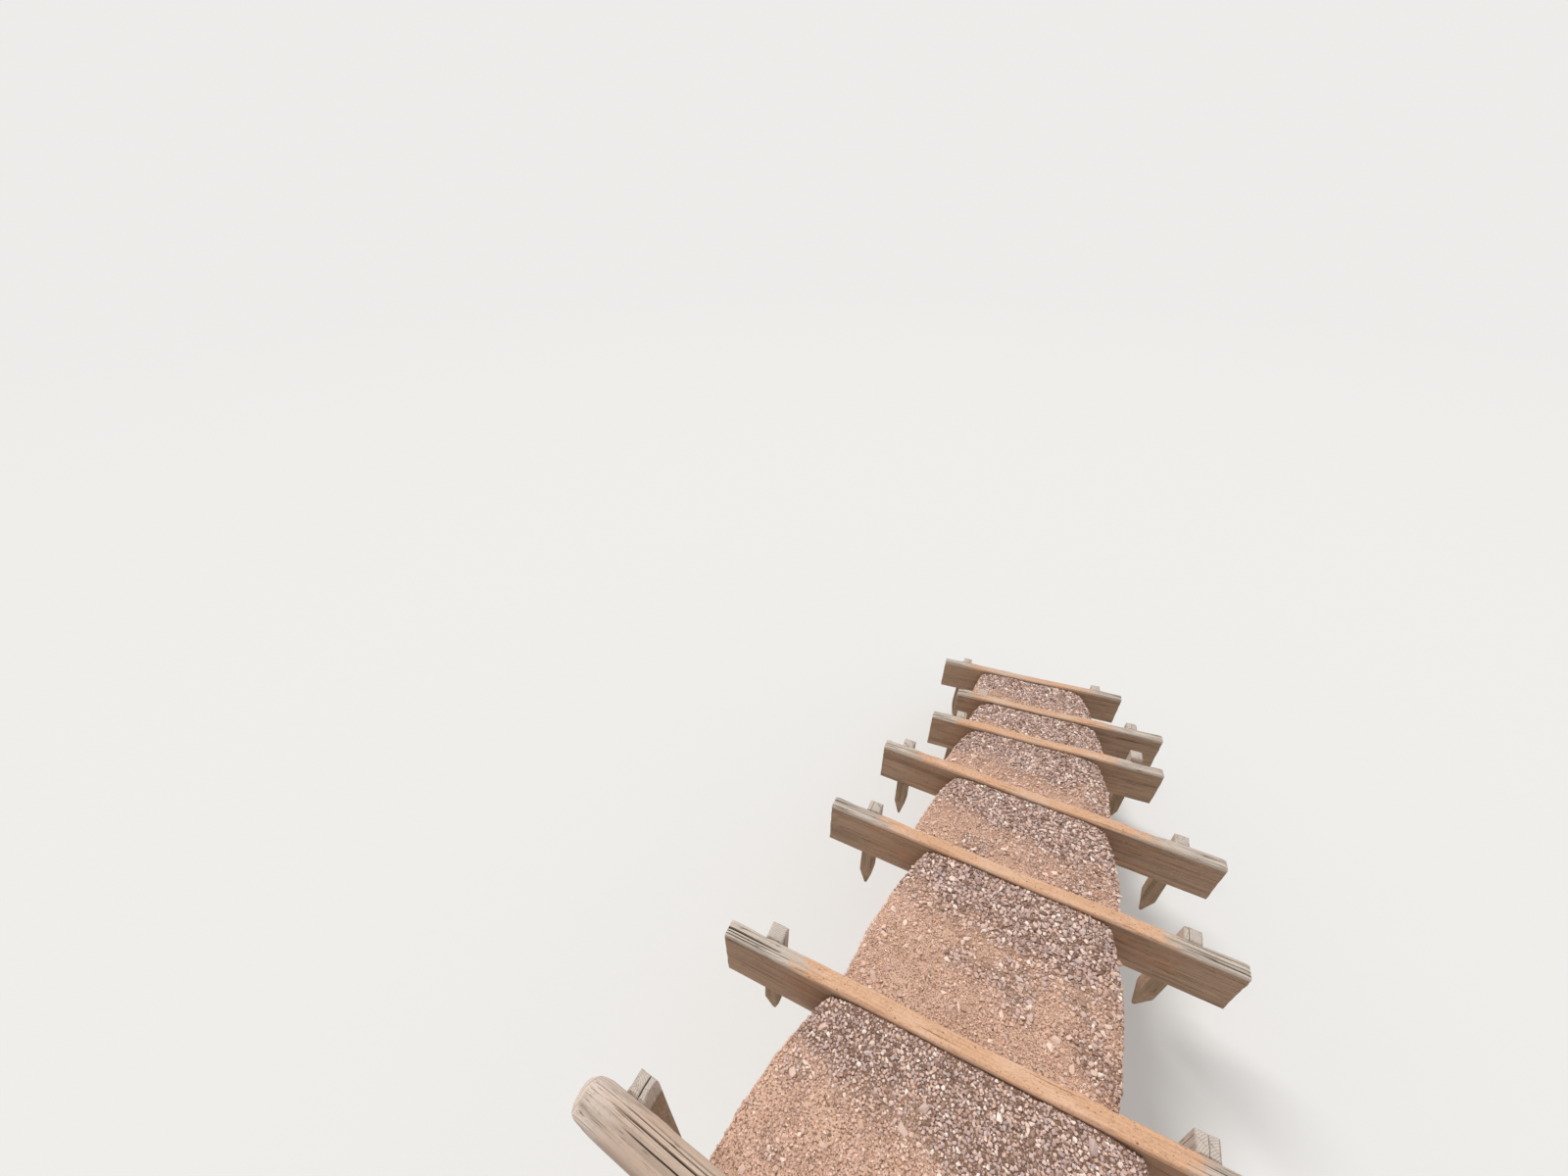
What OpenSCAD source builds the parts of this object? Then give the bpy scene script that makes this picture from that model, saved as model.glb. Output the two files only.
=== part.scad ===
// Flight of timber-edged path steps: a round log and six riser boards set across a path on a
// slope, each held by two driven pegs, with compacted stone filling the tread behind each board.
// X runs across the flight, Y up the slope and Z up. The origin is the middle of the lowest
// board's underside. Risers count from 0, the log at the top, to 6, the lowest board.

/* [Rises] */
// Rise from the top edge of one board to the next
rise = 175; // [140:1:195]
// Rise from the top edge of board 1 to the crown of the log
top_rise = 120; // [105:1:150]

/* [Goings] */
// From the front of the log to the front of board 1, along Y
going_1 = 485; // [380:5:700]
// From the front of board 1 to the front of board 2
going_2 = 600; // [380:5:700]
// From the front of board 2 to the front of board 3
going_3 = 490; // [380:5:700]
// From the front of board 3 to the front of board 4
going_4 = 490; // [380:5:700]
// From the front of board 4 to the front of board 5
going_5 = 405; // [380:5:700]
// From the front of board 5 to the front of board 6
going_6 = 465; // [380:5:700]

/* [Turns] */
// Turn of the log about the vertical, in degrees
turn_0 = -11; // [-12:0.5:12]
// Turn of board 1
turn_1 = -6; // [-12:0.5:12]
// Turn of board 2
turn_2 = -7; // [-12:0.5:12]
// Turn of board 3
turn_3 = -7; // [-12:0.5:12]
// Turn of board 4
turn_4 = -1.5; // [-12:0.5:12]
// Turn of board 5
turn_5 = -0.5; // [-12:0.5:12]

/* [Sideways places] */
// How far the middle of the log lies to the right of the middle of board 6
mid_0 = 475; // [300:5:600]
// Middle of board 1
mid_1 = 335; // [200:5:500]
// Middle of board 2
mid_2 = 190; // [50:5:350]
// Middle of board 3
mid_3 = 75; // [-50:5:200]
// Middle of board 4
mid_4 = 20; // [-100:5:150]
// Middle of board 5
mid_5 = -95; // [-200:5:50]

/* [Trodden line] */
// How far the middle of the trodden strip at the log lies to the right of the middle of board 6
walk_0 = 420; // [300:5:500]
// Trodden strip at board 1
walk_1 = 310; // [200:5:400]
// Trodden strip at board 2
walk_2 = 195; // [100:5:300]
// Trodden strip at board 3
walk_3 = 120; // [20:5:200]
// Trodden strip at board 4
walk_4 = 60; // [-40:5:140]
// Trodden strip at board 5
walk_5 = 0; // [-80:5:80]

/* [Riser boards] */
// Thickness of a board
board_thickness = 45; // [35:1:60]
// Depth of a board, from top edge to underside
board_depth = 200; // [180:1:250]
// Length of boards 1 to 3
upper_board_length = 1300; // [1100:10:1600]
// Length of boards 4 to 6
lower_board_length = 1050; // [950:10:1400]
// Radius of a board's two top arrises
arris = 5; // [2:0.5:10]
// Length of the top edge that feet have worn hollow
worn_length = 620; // [300:10:800]
// Depth of that worn hollow
worn_depth = 5; // [2:0.5:8]

/* [Top log] */
// Length of the log
log_length = 1300; // [1100:10:1600]
// Diameter of the log at its butt, the left-hand end
log_butt_d = 100; // [85:1:120]
// Diameter of the log at its tip
log_tip_d = 92; // [80:1:100]
// Radius that rounds over the log's ends
log_end_radius = 22; // [5:1:30]
// Length of each drying crack along the log
shake_length = 1080; // [300:10:1100]
// Width of a drying crack at the surface
shake_width = 4; // [2:0.5:8]
// Depth of a drying crack
shake_depth = 16; // [5:1:30]

/* [Pegs] */
// Side of a square peg
peg_side = 48; // [40:1:60]
// Length of a peg with its point
peg_length = 500; // [400:10:700]
// Length of the four-sided point
peg_point = 110; // [60:5:160]
// Width of the blunt tip
peg_tip = 8; // [4:1:15]
// Chamfer round a peg's head
peg_chamfer = 5; // [2:0.5:8]
// From the left ends of boards 1 to 4 to the middles of their pegs
left_insets = [140, 140, 140, 115]; // [90:5:180]
// From the right ends of boards 1 to 4 to the middles of their pegs
right_insets = [130, 145, 95, 140]; // [90:5:180]
// From either end of boards 5 and 6 to the middle of its peg
lower_inset = 140; // [90:5:180]
// From the log's end to the middle of its peg
log_peg_inset = 105; // [80:5:150]
// How far a peg's head lies below the top edge of its board
peg_drop = 6; // [0:1:20]
// How far the heads of the log's pegs lie below the crown of the log
log_peg_drop = 34; // [20:1:50]
// How far the one proud peg, on the left of board 4, stands above its board
proud_height = 24; // [0:1:60]
// Largest lean of a peg along its board, in degrees
peg_lean = 2.5; // [0:0.5:4]

/* [Stone fill] */
// Width of the trodden stone behind boards 2 to 6
fill_width = 570; // [450:10:640]
// Width of the trodden stone behind board 1
top_fill_width = 720; // [450:10:760]
// How far the fill lies below the top edge of the board that holds it
fill_drop = 10; // [5:1:25]
// How far the fill climbs from that board to the foot of the riser behind
fill_climb = 20; // [5:1:40]
// Depth of the hollow that feet have worn in a tread
tread_hollow = 16; // [0:1:30]
// How far the fill's two long edges are rounded down
shoulder = 26; // [10:1:45]
// How far each side of the fill flares from its board to the foot of the riser behind
verge_flare = 70; // [0:5:100]
// Sideways spread of the fill for each unit of depth
batter = 0.2; // [0:0.05:0.6]
// Least gap between the fill and a peg
peg_gap = 15; // [8:1:40]
// Depth of the bed that the log has pressed into the fill
log_bed = 12; // [5:1:25]
// How far the top fill reaches past the log's axis
bed_reach = 36; // [20:1:60]

/* [Hidden] */
LEFT = -1;
RIGHT = 1;
// The lowest board, the last of the long boards, and the board whose left peg stands proud
LOWEST = 6;
LAST_LONG = 3;
PROUD = 4;

board_tan = [0.74, 0.55, 0.39];
log_tan = [0.70, 0.60, 0.49];
peg_grey = [0.62, 0.58, 0.51];
stone_red = [0.62, 0.48, 0.42];

goings = [going_1, going_2, going_3, going_4, going_5, going_6];
turns = [turn_0, turn_1, turn_2, turn_3, turn_4, turn_5, 0];
mids = [mid_0, mid_1, mid_2, mid_3, mid_4, mid_5, 0];
walks = [walk_0, walk_1, walk_2, walk_3, walk_4, walk_5, 0];

// Facets round the log
log_sides = 64;
// Angles that make each peg lean a little differently from the next, and from its fellow
lean_step = 150;
lean_split = 70;
// Steps along a worn hollow, and angles of the steps round an arris
worn_rows = 12;
first_step = 20;
nosing_step = 35;
// How much rounder the arrises are where a board is most worn
worn_rounding = 3;
// Height of the sawn blank above the finished top edge
saw_margin = 3;
// Extra length that takes a cut clear through a face
through = 1;
// Gap between flat faces that stand against each other
contact_gap = 0.1;
// Clearance between the log and the bed pressed into the fill
bed_clearance = 0.5;
// Places of the two drying cracks round the log, in degrees downhill of the crown
shake_angles = [18, 43];
// From the log's tip to the nearer end of a crack
shake_start = 55;
// Stretch of a sine wave that shapes a tread's hollow, from its upper end to its lower
hollow_from = 15;
hollow_to = 145;
// How sharply the fill rounds down to its long edges
shoulder_power = 6;
// How soon the fill flares behind its board
flare_power = 3;
// Rows of the fill's surface along a tread, and points across it
fill_rows = 14;
fill_points = 16;

function mix(a, b, t) = a + (b - a) * t;
function riser_length(i) =
    i == 0 ? log_length : i <= LAST_LONG ? upper_board_length : lower_board_length;

// Height of riser i's top edge
function top_z(i) = i == 0 ? top_z(1) + top_rise : board_depth + (LOWEST - i) * rise;

// Y of riser i's front face at its middle
function front_y(i) = i == LOWEST ? -board_thickness / 2 : front_y(i + 1) + goings[i];

// Y, at a place x, of a line set back from riser i's front face and square to it
function line_y(i, x, back) = front_y(i) + (x - mids[i]) * tan(turns[i]) + back / cos(turns[i]);

function log_radius_mid() = (log_butt_d + log_tip_d) / 4;
// Turn that lays the tapering log with its front and its crown both straight along its riser
function log_taper() = atan((log_butt_d - log_tip_d) / 2 / log_length);

// Distance from a riser's end to the middle of its peg, and from the riser's middle to that peg
function inset(i, side) =
    i == 0 ? log_peg_inset : i > len(left_insets) ? lower_inset :
    side == LEFT ? left_insets[i - 1] : right_insets[i - 1];
function peg_reach(i, side) = riser_length(i) / 2 - inset(i, side);
function lean(i, side) = peg_lean * sin(lean_step * i + lean_split * side);
function is_proud(i, side) = i == PROUD && side == LEFT;
function head_drop(i, side) = i == 0 ? log_peg_drop : is_proud(i, side) ? -proud_height : peg_drop;

// Moves a shape from a riser's own place, with its front top edge along X, to the flight
module at_riser(i) {
    translate([mids[i], front_y(i), top_z(i)])
        rotate([0, 0, turns[i]])
            children();
}

// Solid lofted through rings of points. Seen from the first ring towards the last, each ring runs
// clockwise.
module loft(rings) {
    n = len(rings[0]);
    last = len(rings) - 1;
    points = [for (ring = rings) each ring];
    ends = [
        [for (k = [0 : n - 1]) k],
        [for (k = [n - 1 : -1 : 0]) last * n + k]
    ];
    sides = [
        for (row = [0 : last - 1], k = [0 : n - 1])
            let (a = row * n + k, b = row * n + (k + 1) % n)
                each [[a, a + n, b], [b, a + n, b + n]]
    ];
    polyhedron(points, concat(ends, sides));
}

// How far feet have worn the top edge down at a place x from the middle of the worn stretch, from
// 0 to 1
function worn(x) = abs(x) < worn_length / 2 ? pow(cos(180 * x / worn_length), 2) : 0;

// Outline of what is dressed off the top of a board at x. It leaves two round arrises, which are
// rounder where the board is worn.
function nosing_ring(x, wear) =
    let (r = arris + worn_rounding * wear,
        top = -worn_depth * wear,
        centres = [r, board_thickness - r],
        arc = [for (angle = [180 - first_step : -nosing_step : 90]) angle])
    concat(
        [[x, -through, top - r - through]],
        [for (angle = arc) [x, centres[0] + r * cos(angle), top - r + r * sin(angle)]],
        [for (k = [len(arc) - 1 : -1 : 0])
            [x, centres[1] - r * cos(arc[k]), top - r + r * sin(arc[k])]],
        [[x, board_thickness + through, top - r - through],
            [x, board_thickness + through, saw_margin + through],
            [x, -through, saw_margin + through]]
    );

// The cutter that dresses a board's top, worn hollow in the middle of the trodden strip
module nosing_cutter(length, walk) {
    end = length / 2 + through;
    loft(concat(
        [nosing_ring(-end, 0)],
        [for (k = [0 : worn_rows])
            let (x = worn_length * (k / worn_rows - 0.5))
                nosing_ring(walk + x, worn(x))],
        [nosing_ring(end, 0)]
    ));
}

module riser_board(i) {
    color(board_tan)
        at_riser(i)
            difference() {
                translate([-riser_length(i) / 2, 0, -board_depth])
                    cube([riser_length(i), board_thickness, board_depth + saw_margin]);
                nosing_cutter(riser_length(i), (walks[i] - mids[i]) / cos(turns[i]));
            }
}

// Half-outline of the log, from its butt at 0 to its tip, swept round its axis
module log_outline(grow) {
    butt = log_butt_d / 2 + grow;
    tip = log_tip_d / 2 + grow;
    r = log_end_radius;
    polygon([[0, 0], [butt - r, 0], [butt, r], [tip, log_length - r], [tip - r, log_length],
        [0, log_length]]);
    translate([butt - r, r])
        circle(r, $fn = log_sides);
    translate([tip - r, log_length - r])
        circle(r, $fn = log_sides);
}

// Moves a shape that lies along X, from the butt at 0 to the tip, to the log's place on its riser
module at_log() {
    translate([-log_length / 2, log_butt_d / 2, -log_butt_d / 2])
        rotate([0, -log_taper(), -log_taper()])
            children();
}

module log_body(grow) {
    at_log()
        rotate([0, 90, 0])
            rotate_extrude($fn = log_sides)
                log_outline(grow);
}

// Drying cracks: long tapering grooves beside the crown
module shakes() {
    at_log()
        for (angle = shake_angles)
            rotate([angle, 0, 0])
                translate([log_length - shake_start - shake_length, 0, log_tip_d / 2 - shake_depth])
                    rotate([90, 0, 90])
                        linear_extrude(shake_length)
                            polygon([[-shake_width / 2, shake_depth], [0, 0],
                                [shake_width / 2, shake_depth], [shake_width, 2 * shake_depth],
                                [-shake_width, 2 * shake_depth]]);
}

module top_log() {
    color(log_tan)
        at_riser(0)
            difference() {
                log_body(0);
                shakes();
            }
}

// Side view of a peg, head at 0, middle on the Y axis
module peg_outline() {
    half = peg_side / 2;
    polygon([[-half + peg_chamfer, 0], [half - peg_chamfer, 0], [half, -peg_chamfer],
        [half, peg_point - peg_length], [peg_tip / 2, -peg_length],
        [-peg_tip / 2, -peg_length], [-half, peg_point - peg_length], [-half, -peg_chamfer]]);
}

module peg_shape() {
    intersection() {
        rotate([90, 0, 0])
            linear_extrude(2 * peg_side, center = true)
                peg_outline();
        rotate([90, 0, 90])
            linear_extrude(2 * peg_side, center = true)
                peg_outline();
    }
}

// A peg stands against the front of its riser and leans only along it, so its face stays flat on
// the board or along the front of the log
module peg(i, side) {
    color(peg_grey)
        at_riser(i)
            translate([side * peg_reach(i, side), -peg_side / 2 - contact_gap, -head_drop(i, side)])
                rotate([0, lean(i, side), 0])
                    peg_shape();
}

// How far behind the front of the riser above fill i starts: at a board's face, or under the log
function fill_start(i) = i == 1 ? log_radius_mid() + bed_reach : -contact_gap;
function upper_line_y(i, x) = line_y(i - 1, x, fill_start(i));
function lower_line_y(i, x) = line_y(i, x, board_thickness + contact_gap);

// Heights of fill i's surface and underside along its middle, before wear, at u from 0 at the
// upper end to 1 at the lower
function fill_back_z(i) =
    i == 1 ? top_z(0) - 2 * log_radius_mid() + log_bed : top_z(i) - fill_drop + fill_climb;
function fill_top_z(i, u) = mix(fill_back_z(i), top_z(i) - fill_drop, u);
function fill_bottom_z(i, u) = top_z(i) - board_depth + rise * (1 - u);

// Sideways spread of the fill's foot, and how far its edge has flared
function foot_spread(i, u) = batter * (fill_top_z(i, u) - shoulder - fill_bottom_z(i, u));
function edge_flare(u) = verge_flare * (1 - pow(u, flare_power));

// Where fill i passes the fronts of the pegs that stand on it
function u_at_pegs(i) =
    (fill_start(i) + peg_side) / (fill_start(i) + goings[i - 1] - board_thickness);

// Furthest that the upper end of fill i reaches on one side and still clears the peg there
function clear_of_peg(i, side) =
    side * mids[i - 1] + peg_reach(i - 1, side) * cos(turns[i - 1]) - peg_side / 2 - peg_gap
        - foot_spread(i, u_at_pegs(i)) - verge_flare;

// Edge of fill i on one side
function fill_edge(i, side, u) =
    let (wide = (i == 1 ? top_fill_width : fill_width) / 2,
        upper = min(side * walks[i - 1] + wide, clear_of_peg(i, side)),
        lower = side * walks[i] + wide)
    side * (mix(upper, lower, u) + edge_flare(u));

// Hollow worn along the middle of a tread, deepest where feet land
function wear(u, v) = tread_hollow * (1 - v * v) * sin(mix(hollow_from, hollow_to, u));

function fill_top_point(i, u, v) =
    let (x = mix(fill_edge(i, LEFT, u), fill_edge(i, RIGHT, u), (v + 1) / 2),
        y = mix(upper_line_y(i, x), lower_line_y(i, x), u))
    [x, y, fill_top_z(i, u) - wear(u, v) - shoulder * pow(v, shoulder_power)];

function fill_foot_point(i, u, side) =
    let (x = fill_edge(i, side, u) + side * foot_spread(i, u),
        y = mix(upper_line_y(i, x), lower_line_y(i, x), u))
    [x, y, fill_bottom_z(i, u)];

// One cross-section of fill i: the left foot, the surface from left to right and the right foot
function fill_ring(i, u) = concat(
    [fill_foot_point(i, u, LEFT)],
    [for (k = [0 : fill_points]) fill_top_point(i, u, 2 * k / fill_points - 1)],
    [fill_foot_point(i, u, RIGHT)]
);

// Compacted stone between two risers, lofted from one face to the other
module fill_loft(i) {
    loft([for (row = [fill_rows : -1 : 0]) fill_ring(i, row / fill_rows)]);
}

module tread_fill(i) {
    color(stone_red)
        difference() {
            fill_loft(i);
            if (i == 1)
                at_riser(0)
                    log_body(bed_clearance);
        }
}

top_log();
for (i = [1 : LOWEST]) {
    riser_board(i);
    tread_fill(i);
}
for (i = [0 : LOWEST]) {
    peg(i, LEFT);
    peg(i, RIGHT);
}
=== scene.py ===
"""Finishes a flight of timber-edged path steps: weathered boards, log and pegs, and stone treads."""
import itertools
import math
import random
from collections import namedtuple

import bmesh
import bpy
import numpy as np
from bpy.props import FloatProperty, FloatVectorProperty, IntProperty, PointerProperty
from mathutils import Euler, Matrix, Vector, noise
from mathutils.bvhtree import BVHTree


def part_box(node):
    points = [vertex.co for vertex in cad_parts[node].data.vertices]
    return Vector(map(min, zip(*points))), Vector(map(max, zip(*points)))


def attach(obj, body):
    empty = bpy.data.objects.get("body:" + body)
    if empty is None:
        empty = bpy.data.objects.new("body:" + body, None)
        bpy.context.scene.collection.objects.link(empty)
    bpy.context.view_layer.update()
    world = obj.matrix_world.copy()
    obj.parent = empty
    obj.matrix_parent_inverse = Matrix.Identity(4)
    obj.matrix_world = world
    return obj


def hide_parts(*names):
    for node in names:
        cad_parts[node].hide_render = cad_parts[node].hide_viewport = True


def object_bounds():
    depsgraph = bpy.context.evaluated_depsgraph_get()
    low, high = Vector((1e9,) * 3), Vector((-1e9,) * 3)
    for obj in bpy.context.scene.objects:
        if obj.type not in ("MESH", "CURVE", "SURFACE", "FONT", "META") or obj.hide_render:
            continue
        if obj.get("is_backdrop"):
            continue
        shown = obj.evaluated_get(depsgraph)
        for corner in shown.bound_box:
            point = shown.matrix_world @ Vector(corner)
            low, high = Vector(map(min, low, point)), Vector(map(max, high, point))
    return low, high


bl_info = {
    "name": "Timber-Edged Path Steps",
    "version": (1, 0, 0),
    "blender": (4, 5, 0),
    "location": "View3D > Sidebar > Path Steps",
    "description": "Weathered timbers and stone treads for a flight of path steps",
    "category": "Object",
}

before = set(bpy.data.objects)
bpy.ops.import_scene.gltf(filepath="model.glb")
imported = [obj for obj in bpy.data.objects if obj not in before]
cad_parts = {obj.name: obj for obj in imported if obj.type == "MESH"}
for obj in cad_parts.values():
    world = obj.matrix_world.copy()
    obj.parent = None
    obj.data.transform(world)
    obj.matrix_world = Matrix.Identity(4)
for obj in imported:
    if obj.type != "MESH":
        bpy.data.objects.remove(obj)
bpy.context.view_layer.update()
BODY = "root"
BOARDS = range(1, 7)
SIDES = ("left", "right")
UP = Vector((0, 0, 1))
MM = 0.001
TINY = 0.05 * MM
CREASE = math.radians(50)

# Height above a top from which it is felt for
FEEL_FROM = 0.05

# What every timber stores at its vertices for its material. Its crack number is painted shade down in
# the cracks.
MARKS = ("silver", "soil", "damp", "crack", "end")


# Helpers for numbers

def smoothstep(low, high, value):
    """0 before low and 1 after high, with a smooth rise between them. High may be the lower one."""
    t = min(max((value - low) / (high - low), 0.0), 1.0)
    return t * t * (3 - 2 * t)


def mix(low, high, share):
    """The value a share of the way from low to high."""
    return low + (high - low) * share


def bell(value, width):
    """1 at 0, falling smoothly to nothing at a few widths."""
    return math.exp(-(value / width) ** 2)


def drawn_noise(point, along, across):
    """Noise from -1 to 1 that is drawn out along x."""
    return noise.noise(Vector((point[0] * along, point[1] * across, point[2] * across)))


# Places read from the CAD solids

# Share of the log past which its tip's radius is read, and how far in from its ends a peg's are read
LOG_TIP_FROM = 0.9
PEG_END_REACH = 4 * MM


def node_points(node):
    """The corners of a CAD node's mesh, as rows of x, y and z."""
    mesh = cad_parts[node].data
    points = np.empty(len(mesh.vertices) * 3)
    mesh.vertices.foreach_get("co", points)
    return points.reshape(-1, 3)


def own_frame(origin, x_axis, y_axis):
    """Matrix of a timber's own frame, from its origin, its x axis and roughly its y axis."""
    x_axis = x_axis.normalized()
    z_axis = x_axis.cross(y_axis).normalized()
    matrix = Matrix((x_axis, z_axis.cross(x_axis), z_axis)).transposed().to_4x4()
    matrix.translation = origin
    return matrix


def in_frame(points, place):
    """Points given in a timber's own frame."""
    return (points - np.array(place.translation)) @ np.array(place.to_3x3())


def board_place(i):
    """A board's own frame, at the middle of its front top edge with x along it, and its size."""
    points = node_points(f"riser_board_{i}")
    foot = points[points[:, 2] < points[:, 2].min() + TINY]
    foot = foot[np.argsort(foot[:, 0])]
    left, right = foot[:len(foot) // 2], foot[len(foot) // 2:]
    front_left = Vector(left[left[:, 1].argmin()])
    back_left = Vector(left[left[:, 1].argmax()])
    front_right = Vector(right[right[:, 1].argmin()])
    along, back = front_right - front_left, back_left - front_left
    origin = (front_left + front_right) / 2
    origin.z = points[:, 2].max()
    return own_frame(origin, along, back), Vector((along.length, back.length, origin.z - front_left.z))


def end_middles(points, axis, reach):
    """The middles of the low and the high end of a straight timber that runs along an axis."""
    along = points @ np.array(axis)
    low = points[along < along.min() + reach]
    high = points[along > along.max() - reach]
    return Vector((low.min(0) + low.max(0)) / 2), Vector((high.min(0) + high.max(0)) / 2)


def log_place():
    """The log's own frame, at the middle of its butt with x along it, its length and two radii."""
    points = node_points("top_log")
    pegs = [node_points(f"peg_{side}_0").mean(0) for side in SIDES]
    along = Vector(pegs[1] - pegs[0])
    along.z = 0
    butt_end, tip_end = end_middles(points, along.normalized(), MM)
    place = own_frame(butt_end, tip_end - butt_end, UP.cross(along))
    local = in_frame(points, place)
    reach = np.hypot(local[:, 1], local[:, 2])
    length = local[:, 0].max()
    return place, length, reach.max(), reach[local[:, 0] > length * LOG_TIP_FROM].max()


def peg_place(i, side, along):
    """A peg's own frame, at the middle of its head with x down it, and its half-widths by depth."""
    points = node_points(f"peg_{side}_{i}")
    tip, head = end_middles(points, UP, PEG_END_REACH)
    place = own_frame(head, tip - head, along)
    local = in_frame(points, place)
    depths = sorted(set(local[:, 0].round(3)))
    widths = [np.abs(local[np.abs(local[:, 0] - depth) < MM, 1:]).max() for depth in depths]
    return place, depths, widths


def cad_copy(node):
    """A closed copy of a CAD node's mesh."""
    bm = bmesh.new()
    bm.from_mesh(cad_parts[node].data)
    bmesh.ops.remove_doubles(bm, verts=bm.verts, dist=TINY)
    return bm


def cad_surface(node, place):
    """A CAD solid's surface in a timber's own frame, for finding places on it."""
    bm = cad_copy(node)
    bm.transform(place.inverted())
    tree = BVHTree.FromBMesh(bm)
    bm.free()
    return tree


# Helpers for meshes

def grid_block(counts):
    """A unit cube about the origin with a grid on each side, and where each vertex is on it."""
    bm = bmesh.new()
    bmesh.ops.create_cube(bm, size=1.0)
    for axis, count in enumerate(counts):
        edges = [e for e in bm.edges if abs(e.verts[0].co[axis] - e.verts[1].co[axis]) > 0.5]
        bmesh.ops.subdivide_edges(bm, edges=edges, cuts=count - 1, use_grid_fill=True)
    return bm, [vert.co.copy() for vert in bm.verts]


def paint(bm, names, rows):
    """Stores each vertex's row of numbers under these names, for the material to read."""
    for name, values in zip(names, zip(*rows)):
        layer = bm.verts.layers.float.new(name)
        for vert, value in zip(bm.verts, values):
            vert[layer] = value


def lay_grain(bm, spots):
    """Stores each vertex's place in the timber, so that the grain follows the wood."""
    layer = bm.verts.layers.float_vector.new("grain")
    for vert, spot in zip(bm.verts, spots):
        vert[layer] = spot


def to_mesh(bm, name):
    """Ends a bmesh in a mesh."""
    mesh = bpy.data.meshes.new(name)
    bm.to_mesh(mesh)
    bm.free()
    return mesh


def put(name, data):
    """Puts a mesh, a camera or a lamp into the scene."""
    thing = bpy.data.objects.new(name, data)
    bpy.context.scene.collection.objects.link(thing)
    return thing


def finish_piece(bm, name, material, node=None, place=Matrix(), smooth=True):
    """Makes an object from a bmesh, puts it in its place, and ties it to the frame."""
    bm.transform(place)
    mesh = to_mesh(bm, name)
    piece = put(name, mesh)
    mesh.materials.append(material)
    mesh.polygons.foreach_set("use_smooth", [smooth] * len(mesh.polygons))
    if smooth:
        mesh.set_sharp_from_angle(angle=CREASE)
    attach(piece, BODY)
    if node:
        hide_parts(node)
    return piece


# Shader maths

class Term:
    """A socket of a shader node that works in sums."""

    def __init__(self, shade, socket):
        self.shade = shade
        self.socket = socket

    def math(self, operation, first, second):
        return self.shade.math(operation, first, second)

    def __add__(self, other):
        return self.math("ADD", self, other)

    def __sub__(self, other):
        return self.math("SUBTRACT", self, other)

    def __rsub__(self, other):
        return self.math("SUBTRACT", other, self)

    def __mul__(self, other):
        return self.math("MULTIPLY", self, other)

    def __pow__(self, other):
        return self.math("POWER", self, other)

    def __abs__(self):
        return self.math("ABSOLUTE", self, 0.0)

    def fraction(self):
        return self.math("FRACT", self, 0.0)

    __radd__ = __add__
    __rmul__ = __mul__


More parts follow.
